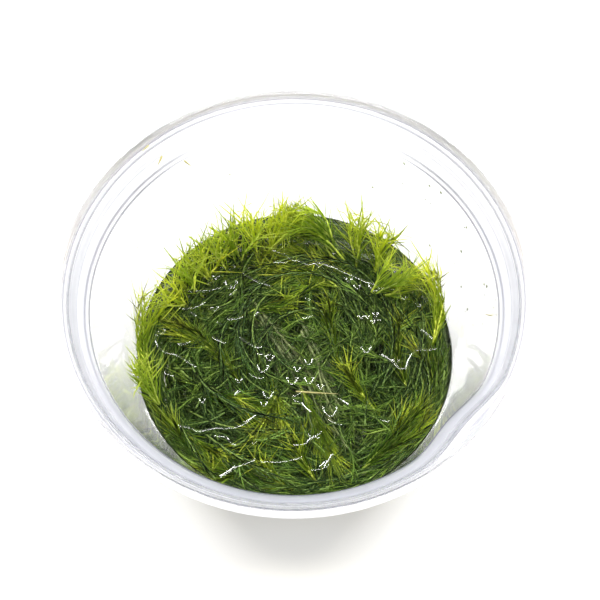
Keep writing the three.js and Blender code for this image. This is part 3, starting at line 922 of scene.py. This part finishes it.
LEAF_STUFF = {
    "fresh_leaf": leaf_material(
        "fresh_leaf", (0.36, 0.5, 0.04), (0.76, 0.86, 0.09), (0.9, 0.95, 0.15),
        (0.92, 0.94, 0.28), roughness=0.42, glow=0.65),
    "green_leaf": leaf_material(
        "green_leaf", (0.2, 0.36, 0.03), (0.55, 0.72, 0.06), (0.8, 0.88, 0.13),
        (0.82, 0.86, 0.27), roughness=0.42, glow=0.6),
    # The deep_leaf shoots get far darker leaf colours than the tufts. This is partly their own
    # darker green and partly painted shade of the crowded clump under the water.
    "deep_leaf": leaf_material(
        "deep_leaf", (0.02, 0.052, 0.004), (0.062, 0.124, 0.011), (0.2, 0.32, 0.035),
        (0.27, 0.35, 0.1), roughness=0.6, glow=0),
    "old_stem": leaf_material(
        "old_stem", (0.13, 0.15, 0.07), (0.13, 0.165, 0.06), (0.16, 0.21, 0.07),
        (0.22, 0.24, 0.12), roughness=0.5, glow=0),
}

TUFT_HABIT = {
    "girth": 0.28, "density": 1.55, "crowding": 0.65, "tuft": 4.0, "lean": 30, "flare": 100,
    "leaf": 10.4, "worn": 0.8, "width": 0.38, "bend": 0.05, "young": 14, "sides": 3,
    "spread": 4.0, "stray": 3, "apart": 0.1, "lift": 0, "loose": 0, "along_wall": 0,
    "depth": (12, 16.8), "needle": FINE_NEEDLE,
}
STAR_HABIT = TUFT_HABIT | {
    "density": 2.2, "tuft": 3, "lean": 24, "leaf": 8, "width": 0.32, "young": 4, "sides": 1,
    "spread": 1.5, "stray": 4,
}
PLUME_HABIT = TUFT_HABIT | {
    "density": 3.6, "crowding": 0.9, "tuft": 3, "lean": 22, "flare": 42, "leaf": 8.8,
    "width": 0.28, "young": 6, "spread": 2.0, "sides": 2,
}
FRINGE_HABIT = TUFT_HABIT | {
    "density": 2.2, "lean": 24, "leaf": 8.8, "width": 0.3, "sides": 7, "spread": 4.5, "stray": 5,
    "apart": 0.6, "lift": 1,
}
INNER_HABIT = TUFT_HABIT | {
    "density": 1.8, "crowding": 0.95, "tuft": 3, "lean": 32, "flare": 50, "leaf": 7.6,
    "width": 0.25, "sides": 9, "spread": 4.5, "stray": 12, "apart": 0.3, "lift": 1.5,
    "loose": 3, "needle": PLAIN_NEEDLE,
}
OLD_HABIT = TUFT_HABIT | {
    "girth": 0.36, "density": 1.3, "crowding": 1, "tuft": 3, "lean": 30, "flare": 40,
    "leaf": 6, "width": 0.22, "worn": 0.9, "sides": 5, "spread": 2.5, "stray": 8,
    "apart": 0.4, "needle": PLAIN_NEEDLE,
}
UNDER_HABIT = TUFT_HABIT | {
    "density": 1.8, "crowding": 1, "tuft": 3, "leaf": 7.5, "lean": 22, "flare": 45,
    "width": 0.24, "sides": 12, "spread": 5.5, "stray": 8, "apart": 0.8,
    "needle": PLAIN_NEEDLE,
}
LYING = ("plume", "lying", "edge", "right_low", "left_middle", "front_1")
STANDING = ("shoot_left_wall", "shoot_left_side", "shoot_left_back", "shoot_back_1",
            "shoot_back_2", "shoot_back_3", "shoot_back_lying_1", "shoot_back_right",
            "shoot_right_wall", "shoot_right_lying")


def habit_of(node):
    """How the leaves of a packed shoot grow. Underneath, shoots 4 and 5 are a layer's middle ring
    and 6 its inner one, so nothing along the wall keeps them company."""
    if node.startswith("under"):
        lower = {"loose": 10, "depth": (3, 11), "along_wall": 20}
        upper = {"lift": 7, "loose": 26, "along_wall": 38, "sides": 14}
        layer = upper if node.startswith("under_mid") else lower
        if node.endswith(("4", "5")):
            layer = layer | {"along_wall": 0}
        if node.endswith("6"):
            layer = layer | {"along_wall": 0, "spread": 7.5, "sides": 18}
        return UNDER_HABIT | layer
    if node.startswith("old"):
        return OLD_HABIT
    if node.startswith("shoot_inner"):
        return INNER_HABIT
    if node.startswith(("shoot_back_lying", "shoot_right_lying")):
        return FRINGE_HABIT
    if any(word in node for word in LYING):
        return PLUME_HABIT
    return TUFT_HABIT if node.startswith(STANDING) else STAR_HABIT


slots = {part["node"]: part["material_slot"] for part in frame["record"]["subparts"]}
shoots = [node for node in sorted(slots) if slots[node] in LEAF_STUFF]
for number, node in enumerate(shoots):
    luck = np.random.default_rng(100 + number)
    habit = habit_of(node)
    line = smooth_line(stem_line(node), STEM_STEP)
    parts = leafed(line, habit, luck)
    for side in range(habit["sides"]):
        parts += leafed(side_shoot(line, habit, luck), habit, luck, SIDE_SHARE)
    for loose in range(habit["loose"]):
        parts += leafed(loose_shoot(habit["depth"], luck), habit, luck, SIDE_SHARE)
    for beside in range(habit["along_wall"]):
        parts += leafed(wall_shoot(line, habit["depth"], luck), habit, luck, SIDE_SHARE)
    points, triangles, growth = joined(parts)
    points = held_in_tub(points, node.startswith(STANDING))
    mesh = bpy.data.meshes.new("leafy_" + node)
    mesh.from_pydata(points * mm, [], triangles)
    attribute = mesh.color_attributes.new(name="growth", type="FLOAT_COLOR", domain="POINT")
    attribute.data.foreach_set("color", growth.ravel())
    new_piece("leafy_" + node, mesh, LEAF_STUFF[slots[node]], slots[node], node)

# The loose bits
# A dead leaf floats on the water, scraps of leaf have stuck to the rim, the seat and the wall,
# and water has condensed on the wall in flat droplets.
DEAD_LEAF = np.array([(0.3, -10.9, 17.62), (10.6, -11.7, 17.66)])
DEAD_LEAF_WIDTH = 0.4
SCRAPS = [
    (133, 48.3, 50.9, 20), (131, 46.2, 47.3, 60), (125.5, 43.9, 44.2, 100), (-4, 43.2, 41.6, 80),
]
SCRAP_LENGTH = 2.4
SCRAP_WIDTH = 0.42
SCRAP_TUCK = 0.25
SCRAP_DROOP = 0.3
SCRAP_BEND = 0.03
SCRAP_AGE = 0.5
SCRAP_CHANCE = 0.6
DROPLETS = 44
DROPLET_HEIGHTS = (23, 43.5)
DROPLETS_ON_RIGHT = 0.8
DROPLET_SPREAD = 0.5
DROPLET_SIZES = (0.14, 0.42)
DROPLET_FLATNESS = 0.25
DROPLET_SINK = 0.03

dome = bmesh.new()
bmesh.ops.create_icosphere(dome, subdivisions=2, radius=1)
bmesh.ops.bisect_plane(
    dome, geom=dome.verts[:] + dome.edges[:] + dome.faces[:], plane_co=(0, 0, 0),
    plane_no=(0, 0, 1), clear_inner=True)
bmesh.ops.holes_fill(dome, edges=[edge for edge in dome.edges if edge.is_boundary])
luck = np.random.default_rng(9)
height = luck.uniform(*DROPLET_HEIGHTS, DROPLETS)
bearing = np.where(luck.uniform(0, 1, DROPLETS) < DROPLETS_ON_RIGHT, 0, math.pi)
bearing = bearing + luck.normal(0, DROPLET_SPREAD, DROPLETS)
inward = np.column_stack([
    -np.cos(bearing) * math.cos(WALL_DRAFT), -np.sin(bearing) * math.cos(WALL_DRAFT),
    np.full(DROPLETS, math.sin(WALL_DRAFT))])
radius = wall_radius(height)
spots = np.column_stack([radius * np.cos(bearing), radius * np.sin(bearing), height])
size = luck.uniform(*DROPLET_SIZES, DROPLETS)
drops = copies(
    template_arrays(dome), spots - inward * DROPLET_SINK, inward, across(inward)[0],
    size * DROPLET_FLATNESS, size, np.zeros(DROPLETS), size, size)
drops_mesh = bpy.data.meshes.new("wall_droplets")
drops_mesh.from_pydata(drops[0] * mm, [], drops[1])
new_piece("wall_droplets", drops_mesh, gel_stuff, "gel")

places = [DEAD_LEAF[0]]
ways = [DEAD_LEAF[1] - DEAD_LEAF[0]]
for degrees, radius, height, slant in SCRAPS:
    bearing = math.radians(degrees)
    slant = math.radians(slant)
    outward = np.array([math.cos(bearing), math.sin(bearing), 0])
    sideways = np.array([-math.sin(bearing), math.cos(bearing), 0])
    inward = np.array([0, 0, -SCRAP_DROOP]) - outward * SCRAP_TUCK
    places.append(outward * radius + np.array([0, 0, height]))
    ways.append(sideways * math.cos(slant) + inward * math.sin(slant))
count = len(places)
lengths = np.full(count, SCRAP_LENGTH)
widths = np.full(count, SCRAP_WIDTH)
lengths[0] = np.linalg.norm(ways[0])
widths[0] = DEAD_LEAF_WIDTH
scraps = copies(
    FINE_NEEDLE, np.array(places), unit(np.array(ways)), np.array([(0.0, 0.0, 1.0)] * count),
    lengths, widths, np.full(count, SCRAP_BEND), np.full(count, SCRAP_AGE),
    np.full(count, SCRAP_CHANCE))
scraps_mesh = bpy.data.meshes.new("leaf_scraps")
scraps_mesh.from_pydata(scraps[0] * mm, [], scraps[1])
attribute = scraps_mesh.color_attributes.new(name="growth", type="FLOAT_COLOR", domain="POINT")
attribute.data.foreach_set("color", scraps[2].ravel())
dead_leaf = leaf_material(
    "dead_leaf", (0.3, 0.26, 0.09), (0.4, 0.36, 0.14), (0.5, 0.45, 0.18), (0.42, 0.4, 0.18),
    roughness=0.6, glow=0)
new_piece("leaf_scraps", scraps_mesh, dead_leaf, "old_stem")
